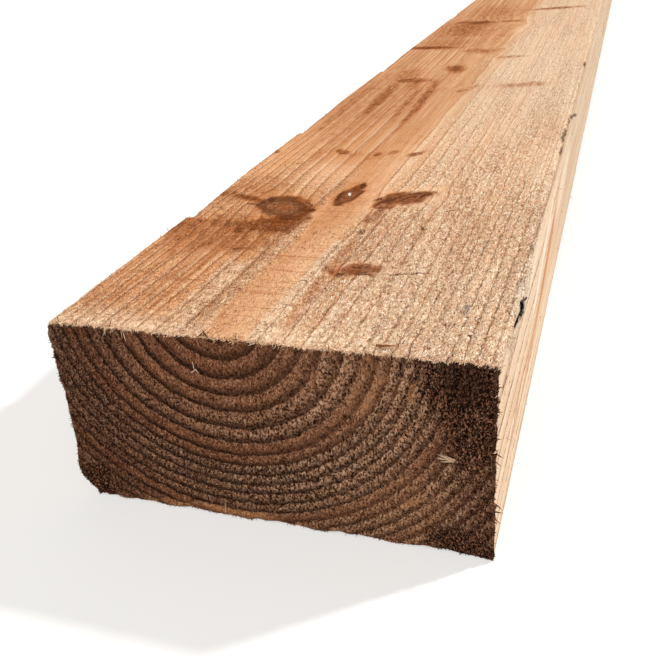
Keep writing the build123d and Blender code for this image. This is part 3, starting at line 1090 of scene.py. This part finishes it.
def end_material():
    """The cut ends: dark stained rings with paler wool torn out of their soft parts, painted light on the
    wool's tufts and painted shade between them.
    """
    s = Sheet("end_grain")
    grain = s.vector("MULTIPLY", s.attribute("grain", "Vector"), (1.0, 0.0, 1.0))
    place = s.attribute("place", "Vector")
    soak, tan = s.attribute("soak"), s.attribute("tan")
    waver = (s.noise(grain, (7, 9, 7), 3) - 0.5) * 2.2 + (s.noise(grain, (1.5, 9, 1.5), 2) - 0.5) * 1.4
    share, part = rings(s, grain, waver)
    tint, woolly = s.bands(share, END_RINGS)
    left = s.step(s.x_of(place), 35, -55)
    late = s.step(part, 0.38, 0.90)
    woolly = woolly * (1.0 - left * 0.40)
    fuzz = s.noise(place, (0.95, 9, 1.6), 2, 0.6, 1.0)
    tuft = s.noise(place, (1.25, 9, 1.8), 1, 0.5, 0.8)
    fine = s.noise(place, (0.6, 9, 0.9), 2, 0.6)
    clump = s.noise(grain, (3.0, 9, 3.0), 3, 0.6)
    patch = s.noise(grain, (18, 9, 18), 3, 0.6)
    pit_shade_noise = s.noise(place, (1.2, 8, 1.8), 1, 0.5, 1.0)
    colour = s.mix(s.step(patch, 0.60, 0.34) * 0.42, tint, paint(116, 70, 48))
    colour = s.lay(
        colour,
        (tan * 0.62, (198, 140, 98)),
        (s.step(clump, 0.48, 0.70) * 0.28, (200, 140, 98)),
        (s.step(clump, 0.48, 0.30) * 0.40, (86, 50, 34)),
    )
    dark = late * (0.57 + left * 0.38 - tan * 0.12) * (0.60 + s.step(patch, 0.30, 0.52) * 0.40)
    colour = s.lay(
        colour,
        (dark, (70, 39, 27)),
        (s.step(part, 0.62, 0.90) * left * 0.75, (40, 21, 14)),
    )
    soft = (1.0 - late * 0.75) * (woolly * 0.8 + 0.2)
    soft = soft * (0.6 + s.step(part, 0.55, 0.10) * 0.4) * (1.0 - left * 0.34)
    # The pale specks are partly pale torn fibres and partly painted light where tufts catch light; the dark
    # specks and pits are painted shade between tufts
    colour = s.lay(
        colour,
        (s.step(fuzz, 0.51, 0.58) * soft * 0.96, (246, 198, 162)),
        (s.step(fuzz, 0.49, 0.41) * (0.46 + woolly * 0.52), (32, 16, 11)),
        (s.step(tuft, 0.56, 0.62) * soft * woolly * 0.95, (248, 208, 174)),
        (s.step(tuft, 0.44, 0.36) * woolly * 0.80, (26, 12, 9)),
        (s.step(fine, 0.52, 0.66) * 0.24, (216, 160, 116)),
        (s.step(pit_shade_noise, 0.39, 0.29) * 0.8, (26, 14, 10)),
    )
    bare = 0.66 - s.step(fuzz, 0.52, 0.42) * 0.40
    for middle, half, turns in END_STREAKS:
        colour = s.mix(s.mark(place, middle, half, turns) * bare, colour, paint(222, 160, 112))
    pale = s.mark(place, (-30, 0, 0), (42, 9, 5), (0, 0, 0)) * (1.0 - late * 0.7)
    colour = s.mix(pale * (bare + 0.10), colour, paint(240, 174, 122))
    soaked = s.step(soak + (clump - 0.5) * 0.9 + (patch - 0.5) * 0.7, 0.18, 0.95)
    wet = s.mix(s.step(fuzz * 0.55 + fine * 0.45, 0.50, 0.59), paint(20, 9, 6), paint(186, 128, 98))
    deep = s.mark(place, (87, 0, 88), (10, 9, 13), (0, 0, 0))
    wet = s.mix(deep * 0.62, wet, paint(22, 10, 7))
    colour = s.mix(soaked * 0.90, colour, wet)
    s.bump(fuzz + clump * 0.9 + fine * 0.3 - late * 0.30, 1.8)
    colour = s.mix(1.0, colour, paint(252, 252, 255), "MULTIPLY")
    return s.finish(colour, 0.95, 0.03)


# Loose fibres: how many lie on each part, and how far from the near end the nearer parts reach
NEAR_FIBRES, NEAR_STRETCH = 5000, 135.0
MIDDLE_FIBRES, MIDDLE_STRETCH = 4500, 430.0
STANDING_FIBRES, STANDING_STRETCH = 11000, 230.0
END_FIBRES = 6000
EDGE_FIBRES = 9000
FAR_FIBRES = 9000
SPIKE_CORNERS = 3
# The faces of a spike that is bent once, and of a straight one
SPIKE_FACES = (
    (2, 1, 0), (0, 1, 4), (0, 4, 3), (1, 2, 5), (1, 5, 4),
    (2, 0, 3), (2, 3, 5), (3, 4, 6), (4, 5, 6), (5, 3, 6),
)
QUILL_FACES = ((2, 1, 0), (0, 1, 3), (1, 2, 3), (2, 0, 3))
# How far a spike's root is sunk into the wood
ROOT_DEPTH = 0.35
# How dark painted shade makes a fibre at its root, as shares of its red, green and blue, and how far painted
# light lightens its tip
ROOT_PAINTED_SHADE = np.array([0.72, 0.58, 0.46])
TIP_PAINTED_LIGHT = 0.25
TIP_PAINTED_LIGHT_TONE = paint(255, 238, 212)
# No loose fibre but the named ones is longer than this, before its sag
LONGEST = 3.2
# The stretch round the open pocket: past this across, and this far along from its middle
POCKET_SIDE, POCKET_MIDDLE, POCKET_REACH = 90, 73, 30

# Long whiskers that stand out one by one: root, tip, width, and their colour's number in WHISKER_TONES
WHISKER_TONES = np.array([
    paint(255, 228, 196), paint(70, 40, 26), paint(150, 98, 62), paint(146, 102, 74),
])
WHISKERS = [
    ((-93.5, 0.5, 94.6), (-97.5, 5.0, 97.0), 0.7, 1),
    ((-85.0, 0.0, 94.6), (-85.8, 4.0, 96.8), 0.6, 1),
    ((-68.0, 0.0, 94.6), (-68.8, 5.0, 97.6), 0.8, 1),
    ((-20.0, 0.0, 94.8), (-25.5, 5.0, 97.4), 0.9, 1),
    ((-25.0, 0.5, 94.8), (-22.5, 4.0, 96.8), 0.8, 1),
    ((-23.0, 1.0, 94.9), (-24.0, 6.0, 97.0), 0.6, 1),
    ((-7.0, 0.0, 94.8), (-10.0, 4.5, 96.4), 0.6, 1),
    ((51.5, -0.5, 94.8), (51.2, 4.0, 97.0), 0.7, 1),
    ((59.0, 0.0, 94.8), (58.6, 3.0, 96.0), 0.6, 1),
    ((65.2, 0.0, 94.8), (65.0, 7.0, 97.4), 0.7, 1),
    ((73.0, 0.0, 94.8), (73.6, 3.0, 96.4), 0.6, 1),
    ((80.0, 0.0, 94.8), (80.8, 3.0, 96.6), 0.6, 1),
    ((33.0, 0.0, 94.8), (32.0, 3.0, 96.2), 0.6, 1),
    ((-69.0, 0.3, 95.0), (-71.0, -2.0, 91.0), 0.6, 0),
    ((-70.0, 0.3, 95.0), (-69.5, -1.6, 92.0), 0.5, 0),
    ((-61.0, 0.3, 95.0), (-59.0, -2.2, 89.5), 0.7, 0),
    ((-62.0, 0.3, 95.0), (-60.6, -1.8, 91.0), 0.6, 0),
    ((-29.0, -0.4, 83.0), (-28.0, -1.6, 79.0), 0.5, 0),
    ((-28.0, -0.4, 79.2), (-31.0, -1.6, 77.8), 0.5, 0),
    ((-28.0, -0.4, 79.2), (-26.0, -1.6, 78.2), 0.5, 0),
    ((-24.3, -0.2, 7.0), (-24.0, -0.9, 0.8), 0.9, 0),
    ((83.2, -0.6, 49.8), (76.2, -2.4, 53.2), 0.75, 0),
    ((82.8, -0.6, 49.6), (75.6, -2.2, 51.4), 0.75, 0),
    ((81.2, -0.6, 50.6), (76.6, -2.8, 53.8), 0.65, 0),
    ((83.0, -0.6, 49.4), (77.4, -2.0, 49.6), 0.75, 0),
    ((83.4, -0.6, 50.2), (79.2, -2.6, 53.6), 0.60, 0),
    ((100.0, 1.0, 62.0), (102.4, -1.4, 63.4), 0.6, 3),
    ((100.0, 0.5, 55.0), (103.4, -1.6, 54.4), 0.6, 1),
    ((100.0, 0.5, 51.0), (102.6, -1.4, 50.2), 0.6, 3),
    ((100.0, 0.5, 30.0), (103.6, -1.2, 29.0), 0.7, 1),
    ((100.0, 0.5, 26.0), (103.8, -0.8, 26.8), 0.8, 1),
    ((100.0, 0.5, 22.0), (103.0, -1.2, 21.2), 0.7, 3),
    ((100.0, 0.5, 86.0), (102.2, -1.2, 87.0), 0.6, 3),
    ((100.0, 0.5, 75.0), (102.2, -1.2, 76.2), 0.6, 3),
    ((51.2, 6.2, 95.8), (60.8, 6.6, 96.2), 1.2, 2),
]


def unit(ways):
    return ways / np.linalg.norm(ways, axis=1)[:, None]


def spikes(base, way, length, width, rng, sag=None):
    """The places and faces of thin closed three-sided spikes, straight, or bent once where they sag."""
    way = unit(way)
    side = unit(np.cross(way, rng.normal(size=way.shape)))
    other = np.cross(way, side)
    tip = base + way * length[:, None]
    levels, table = [(base - way * ROOT_DEPTH, 1.0)], QUILL_FACES
    if sag is not None:
        levels.append((base + way * (0.5 * length)[:, None] + sag * 0.25, 0.7))
        tip, table = tip + sag, SPIKE_FACES
    places = np.empty((len(base), len(levels) * SPIKE_CORNERS + 1, 3))
    for corner in range(SPIKE_CORNERS):
        angle = 2 * math.pi * corner / SPIKE_CORNERS
        out = (side * math.cos(angle) + other * math.sin(angle)) * (width / 2)[:, None]
        for level, (middle, share) in enumerate(levels):
            places[:, level * SPIKE_CORNERS + corner] = middle + share * out
    places[:, -1] = tip
    faces = np.array(table)[None] + np.arange(len(base))[:, None, None] * places.shape[1]
    return places.reshape(-1, 3), faces.reshape(-1, 3)


def root_to_tip(tones, corners):
    """A colour for each vertex of spikes, with painted shade darkening the root and painted light paling the
    tip.
    Corners says how many vertices a spike has."""
    each = np.repeat(tones[:, None, :3], corners, axis=1)
    each[:, :SPIKE_CORNERS] *= ROOT_PAINTED_SHADE
    each[:, -1] += TIP_PAINTED_LIGHT * (np.array(TIP_PAINTED_LIGHT_TONE[:3]) - each[:, -1])
    return each.reshape(-1, 3)


def scatter(surface, weight, count, rng):
    """Random places on the sleeper's surface, and the outward way at each."""
    corners, normals, areas = surface
    chance = areas * weight
    chosen = rng.choice(len(areas), count, p=chance / chance.sum())
    a, b = rng.uniform(size=(2, count))
    a, b = np.where(a + b > 1, 1 - a, a), np.where(a + b > 1, 1 - b, b)
    p = corners[chosen]
    spots = p[:, 0] + a[:, None] * (p[:, 1] - p[:, 0]) + b[:, None] * (p[:, 2] - p[:, 0])
    return spots, normals[chosen]


def read_surface(piece):
    """The corners, outward ways and areas of a mesh's triangles, in millimetres."""
    mesh = piece.data
    mesh.calc_loop_triangles()
    spots = np.array([v.co for v in mesh.vertices]) / MM + (0, LENGTH / 2, 0)
    corners = spots[np.array([t.vertices[:] for t in mesh.loop_triangles])]
    across = np.cross(corners[:, 1] - corners[:, 0], corners[:, 2] - corners[:, 0])
    size = np.linalg.norm(across, axis=1)
    return corners, across / np.maximum(size, 1e-9)[:, None], size / 2


def blend(share, first, second):
    return first + np.asarray(share)[:, None] * (np.asarray(second) - first)


def face_tone(wood, rng):
    """The colour of a fibre on the long faces."""
    count = len(wood.heart)
    pale = blend(rng.uniform(size=count), np.array(PALE[0]), PALE[1])
    warm = blend(rng.uniform(size=count), np.array(WARM[0]), WARM[1])
    tone = pale + wood.heart[:, None] * (warm - pale)
    tone = blend(wood.cream * (1 - 0.35 * wood.heart), tone, CREAM[0])
    tone = blend(rng.uniform(0, 0.7, count), tone, paint(255, 236, 208))
    tone = blend(smooth_step(wood.stain, 0.2, 0.7) * 0.9, tone, paint(150, 84, 44))
    return blend((rng.uniform(size=count) < 0.12) * 0.6, tone, paint(130, 78, 44))


def end_rows(wood):
    """The row of END_RINGS for each place's ring."""
    return np.array(END_RINGS)[np.minimum(wood.ring.astype(int), len(END_RINGS) - 1)]


def end_tone(wood, rng):
    """The colour of a fibre on the cut ends."""
    count = len(wood.ring)
    table = end_rows(wood)
    late = smooth_step(wood.ring % 1, 0.40, 0.85)
    tone = blend(wood.tan * 0.5, table, paint(196, 138, 96))
    light = (rng.uniform(size=count) < 0.25 + 0.55 * table[:, 3]) * rng.uniform(0.4, 1, count)
    tone = blend(light * (1 - 0.8 * late), tone, paint(232, 182, 142))
    tone = blend(late * 0.75, tone, paint(58, 32, 22))
    return blend(smooth_step(wood.soak, 0.15, 0.95) * 0.85, tone, paint(44, 25, 17))


def fibre_material():
    """Torn fibres: each has its own colour, with painted shade at its root and painted light at its tip, a
    little lighter and darker along it.
    """
    s = Sheet("torn_fibres")
    tone, place = s.attribute("tone", "Color"), s.attribute("place", "Vector")
    mottle = s.noise(place, (0.8, 1.6, 0.8), 2)
    colour = s.mix(s.step(mottle, 0.35, 0.65), tone, s.mix(0.30, tone, paint(140, 92, 60)))
    s.bump(mottle, 0.3)
    return s.finish(colour, 0.92, 0.04)


def fibre_piece(name, parts, material):
    """One piece of many spikes. Each part is the spikes' places and faces, and a colour for each spike."""
    places = np.concatenate([p for (p, _), _ in parts])
    offsets = np.cumsum([0] + [len(p) for (p, _), _ in parts[:-1]])
    faces = np.concatenate([f + o for ((_, f), _), o in zip(parts, offsets)])
    each = np.concatenate([root_to_tip(t, len(p) // len(t)) for (p, _), t in parts])
    places[:, 2] = np.maximum(places[:, 2], 0.02)
    piece = new_mesh(name, places, faces.tolist())
    layer = piece.data.attributes.new("tone", "FLOAT_COLOR", "POINT")
    colours = np.concatenate([each, np.ones((len(each), 1))], 1)
    layer.data.foreach_set("color", colours.astype(np.float32).ravel())
    add_layer(piece.data, "place", places)
    map_fibres(piece.data, places, name == "end_wool")
    finish_piece(piece, material)


# Where in a ring its dark line lies, as a share of the ring's width
DARK_LINE = 0.92


def by_dark_line(ring):
    """1 at a ring's dark line and 0 away from it."""
    return smooth_step(np.abs(ring % 1 - DARK_LINE), 0.14, 0.06)


def bend(rng, share, length):
    """How far each fibre's tip strays, by a share of the fibre's length."""
    return rng.normal(0, share, (len(length), 3)) * length[:, None]


def long_fibres(surface, weight, count, rng, size=1.0):
    """Torn fibres lying along the grain on the long faces."""
    base, normal = scatter(surface, weight, 2 * count, rng)
    line = by_dark_line(Wood(base).ring)
    kept = np.argsort(rng.uniform(size=2 * count) + line)[:count]
    base, normal = base[kept], normal[kept]
    wood = Wood(base)
    back = np.where(rng.uniform(size=count) < 0.5, -1.0, 1.0)
    way = normal * rng.uniform(0.15, 0.60, count)[:, None] + rng.normal(0, 0.42, (count, 3))
    way[:, 1] += back * rng.uniform(0.3, 1.0, count)
    way += normal * np.maximum(0.12 - (way * normal).sum(1), 0)[:, None]
    length = np.minimum(size * rng.gamma(6, 0.22, count), LONGEST)
    width = size * rng.uniform(0.35, 0.70, count)
    sag = bend(rng, 0.25, length) - normal * (0.15 * length)[:, None]
    return spikes(base, way, length, width, rng, sag), face_tone(wood, rng)


def standing_fibres(surface, weight, count, rng):
    """Short torn fibres that stand up from the top face."""
    base, normal = scatter(surface, weight, count, rng)
    wood = Wood(base)
    way = normal + rng.normal(0, 0.26, (count, 3))
    length = rng.uniform(0.6, 1.8, count)
    width = rng.uniform(0.40, 0.75, count)
    tone = face_tone(wood, rng)
    tone = blend(by_dark_line(wood.ring) * 0.6, tone, paint(150, 90, 50))
    return spikes(base, way, length, width, rng), tone


def end_fibres(surface, weight, count, rng):
    """Short torn fibres on the cut near end."""
    base, normal = scatter(surface, weight, 2 * count, rng)
    wood = Wood(base)
    late = smooth_step(wood.ring % 1, 0.35, 0.60)
    kept = np.argsort(rng.uniform(size=2 * count) + 0.8 * late)[:count]
    base, normal, wood = base[kept], normal[kept], Wood(base[kept])
    way = normal * 0.7 + rng.normal(0, 0.6, (count, 3))
    way += normal * np.maximum(0.2 - (way * normal).sum(1), 0)[:, None]
    length = np.minimum(rng.gamma(6, 0.14, count), 1.6)
    width = rng.uniform(0.35, 0.70, count)
    sag = bend(rng, 0.25, length)
    return spikes(base, way, length, width, rng, sag), end_tone(wood, rng)


def whiskers(rng):
    """The long whiskers that stand out one by one."""
    root = np.array([w[0] for w in WHISKERS], float)
    tip = np.array([w[1] for w in WHISKERS], float)
    width = np.array([w[2] for w in WHISKERS], float)
    tone = WHISKER_TONES[[w[3] for w in WHISKERS]]
    length = np.linalg.norm(tip - root, axis=1)
    sag = bend(rng, 0.06, length)
    return spikes(root, tip - root, length, width, rng, sag), tone


def by_pocket(place, top):
    """Whether each place lies beside the open pocket, below a height. No fibre is laid over the pocket."""
    x, y, z = place.T
    return (x > POCKET_SIDE) & (np.abs(y - POCKET_MIDDLE) < POCKET_REACH) & (z < top)


def make_fibres(body):
    """All the loose fibres, in a few pieces."""
    rng = np.random.default_rng(21)
    surface = read_surface(body)
    material = fibre_material()
    middle = surface[0].mean(1)
    wood = Wood(middle)
    x, y, z = middle.T
    normal = surface[1]
    end, far_end = normal[:, 1] < -0.7, normal[:, 1] > 0.7
    wool = np.where(end | far_end, 0, wood.wool**1.5) + 1e-6
    top = (z > HEIGHT - 12) & ~end
    hole = by_pocket(middle, 92)
    near = wool * top * (y < NEAR_STRETCH) * ~hole
    mid = wool * top * (y >= NEAR_STRETCH) * (y < MIDDLE_STRETCH) * ~hole
    rest = (wool * top * (y >= MIDDLE_STRETCH) + 0.02 * ~top * ~end + 0.3 * far_end) * ~hole
    upright = wool * top * smooth_step(y, STANDING_STRETCH, 0.6 * STANDING_STRETCH)
    upright *= ~hole * (normal[:, 2] > 0.5)
    upright *= smooth_step(x, -WIDTH / 2, 6 - WIDTH / 2)
    fibre_piece("near_wool", [long_fibres(surface, near, NEAR_FIBRES, rng)], material)
    fibre_piece("standing_wool", [standing_fibres(surface, upright, STANDING_FIBRES, rng)], material)
    fibre_piece("middle_wool", [long_fibres(surface, mid, MIDDLE_FIBRES, rng)], material)
    fibre_piece("far_wool", [long_fibres(surface, rest, FAR_FIBRES, rng, 1.1)], material)
    cut = end * (0.35 + end_rows(wood)[:, 3])
    fibre_piece("end_wool", [end_fibres(surface, cut, END_FIBRES, rng)], material)
    fibre_piece("edge_whiskers", [*edge_fibres(rng, surface, middle, normal), whiskers(rng)], material)


def edge_fibres(rng, surface, middle, normal):
    """Fibres that stand out along the near end's outline and along the arrises."""
    x, y, z = middle.T
    end = normal[:, 1] < -0.7
    inset = np.minimum(WIDTH / 2 - np.abs(x), np.minimum(z, HEIGHT - z))
    rim = end * (inset < 1.6)
    share = EDGE_FIBRES // 3
    base, _ = scatter(surface, rim + 0.0, share, rng)
    out = np.stack([base[:, 0] / (WIDTH / 2), np.zeros(share), (base[:, 2] - HEIGHT / 2) / (HEIGHT / 2)], 1)
    out = np.sign(out) * (np.abs(out) > 0.9)
    way = out * rng.uniform(0.3, 1.1, share)[:, None] + rng.normal(0, 0.4, (share, 3))
    way[:, 1] -= 0.35
    length = np.minimum(rng.gamma(5, 0.17, share), 1.6)
    sag = bend(rng, 0.2, length)
    sizes = rng.uniform(0.30, 0.60, share)
    dark = spikes(base, way, length, sizes, rng, sag), end_tone(Wood(base), rng)

    near = ~end * (y < 2.5) * (z > HEIGHT - 1)
    base, face = scatter(surface, near + 0.0, share, rng)
    way = face * 0.5 + rng.normal(0, 0.5, (share, 3))
    way[:, 1] -= rng.uniform(0.2, 1.0, share)
    way[:, 2] = np.abs(way[:, 2]) * 0.5
    length = np.minimum(rng.gamma(4, 0.25, share), 2.2)
    sag = bend(rng, 0.2, length) - np.array([0, 0, 0.3]) * length[:, None]
    pale = spikes(base, way, length, sizes, rng, sag), face_tone(Wood(base), rng)

    hole = by_pocket(middle, 94)
    slanted = ~end * (np.abs(normal[:, 0]) > 0.2) * (np.abs(normal[:, 2]) > 0.2) * (y < LENGTH - 5) * ~hole
    base, face = scatter(surface, slanted / (1 + y / 300), share, rng)
    way = face * 0.35 + rng.normal(0, 0.3, (share, 3))
    way[:, 1] += np.where(rng.uniform(size=share) < 0.6, -1, 1) * rng.uniform(0.6, 1.4, share)
    length = np.minimum(rng.gamma(4, 0.4, share), LONGEST)
    sag = bend(rng, 0.15, length)
    torn = spikes(base, way, length, sizes, rng, sag), face_tone(Wood(base), rng)
    return dark, pale, torn


# The camera, in the photograph's frame: its place from the near end, its turns in degrees, and its lens
CAMERA_PLACE = (133.0, -266.6, 252.1)
CAMERA_YAW = 20.14
CAMERA_PITCH = -27.66
CAMERA_ROLL = -4.41
PHOTO_SIDE_PX = 665
CAMERA_FOCUS_PX = 820.2
SENSOR = 36.0


def make_camera():
    data = bpy.data.cameras.new("camera")
    data.sensor_width = SENSOR
    data.lens = CAMERA_FOCUS_PX / PHOTO_SIDE_PX * SENSOR
    camera = new_object("camera", data)
    turn = Matrix.Rotation(math.radians(CAMERA_YAW), 4, "Z")
    turn @= Matrix.Rotation(math.radians(90 + CAMERA_PITCH), 4, "X")
    turn @= Matrix.Rotation(math.radians(CAMERA_ROLL), 4, "Z")
    place = (np.array(CAMERA_PLACE) - (0, LENGTH / 2, 0)) * MM
    camera.matrix_world = Matrix.Translation(Vector(place)) @ turn
    data.clip_start = 0.01
    bpy.context.scene.camera = camera


# Light: each lamp's bearing and height in degrees, its softness in degrees and its strength
KEY = (38.0, 37.0, 3.0, 2.90)
FILL = (-112.0, 48.0, 25.0, 1.25)
KEY_COLOUR = (1.0, 1.0, 1.0)
FILL_COLOUR = (1.0, 0.95, 0.88)
SKY_COLOUR = (1.0, 0.95, 0.88, 1.0)
SKY_STRENGTH = 0.47
FLOOR_HALF = 12.0
FLOOR_BOUNCE = 0.40
FLOOR_GAP = 0.2


def make_lamp(name, colour, bearing, height, softness, strength):
    """A far lamp that shines from a bearing and height."""
    lamp = bpy.data.lights.new(name, "SUN")
    lamp.energy = strength
    lamp.color = colour
    lamp.angle = math.radians(softness)
    piece = new_object(name, lamp)
    bearing, height = math.radians(bearing), math.radians(height)
    level = math.cos(height)
    towards = Vector((level * math.cos(bearing), level * math.sin(bearing), math.sin(height)))
    piece.rotation_mode = "QUATERNION"
    piece.rotation_quaternion = towards.to_track_quat("Z", "Y")


def seen_apart(tree, unseen, seen, target):
    """Lets the camera see one shader while light meets the other."""
    path, either = tree.nodes.new("ShaderNodeLightPath"), tree.nodes.new("ShaderNodeMixShader")
    sources = (path.outputs["Is Camera Ray"], unseen.outputs[0], seen.outputs[0])
    for source, socket in zip(sources, either.inputs):
        tree.links.new(source, socket)
    tree.links.new(either.outputs[0], target)


def make_surround():
    """An even pale surround that the camera sees as white."""
    world = bpy.data.worlds.new("surround")
    world.use_nodes = True
    bpy.context.scene.world = world
    nodes = world.node_tree.nodes
    sky, white = nodes["Background"], nodes.new("ShaderNodeBackground")
    for node, colour, strength in ((sky, SKY_COLOUR, SKY_STRENGTH), (white, (1, 1, 1, 1), 1.0)):
        node.inputs["Color"].default_value = colour
        node.inputs["Strength"].default_value = strength
    seen_apart(world.node_tree, sky, white, nodes["World Output"].inputs["Surface"])


def make_floor():
    """A pale floor just under the sleeper. The camera sees it near white, with the sleeper's shadow."""
    mesh = bpy.data.meshes.new("floor")
    h = FLOOR_HALF
    mesh.from_pydata([(-h, -h, 0), (h, -h, 0), (h, h, 0), (-h, h, 0)], [], [(0, 1, 2, 3)])
    floor = new_object("floor", mesh)
    floor.location.z = -FLOOR_GAP * MM
    material = bpy.data.materials.new("floor")
    material.use_nodes = True
    nodes, links = material.node_tree.nodes, material.node_tree.links
    nodes.remove(nodes["Principled BSDF"])
    dull, bright = nodes.new("ShaderNodeBsdfDiffuse"), nodes.new("ShaderNodeBsdfDiffuse")
    glow, seen = nodes.new("ShaderNodeEmission"), nodes.new("ShaderNodeAddShader")
    dull.inputs["Color"].default_value = (FLOOR_BOUNCE,) * 3 + (1,)
    bright.inputs["Color"].default_value = (0.5, 0.5, 0.5, 1)
    glow.inputs["Strength"].default_value = 0.5
    links.new(bright.outputs[0], seen.inputs[0])
    links.new(glow.outputs[0], seen.inputs[1])
    seen_apart(material.node_tree, dull, seen, nodes["Material Output"].inputs["Surface"])
    mesh.materials.append(material)


make_camera()
make_lamp("key", KEY_COLOUR, *KEY)
make_lamp("fill", FILL_COLOUR, *FILL)
make_surround()
make_floor()

sleeper = make_sleeper()
finish_piece(sleeper, sawn_material(), end_material())
make_fibres(sleeper)

bpy.context.scene.view_settings.view_transform = "Standard"
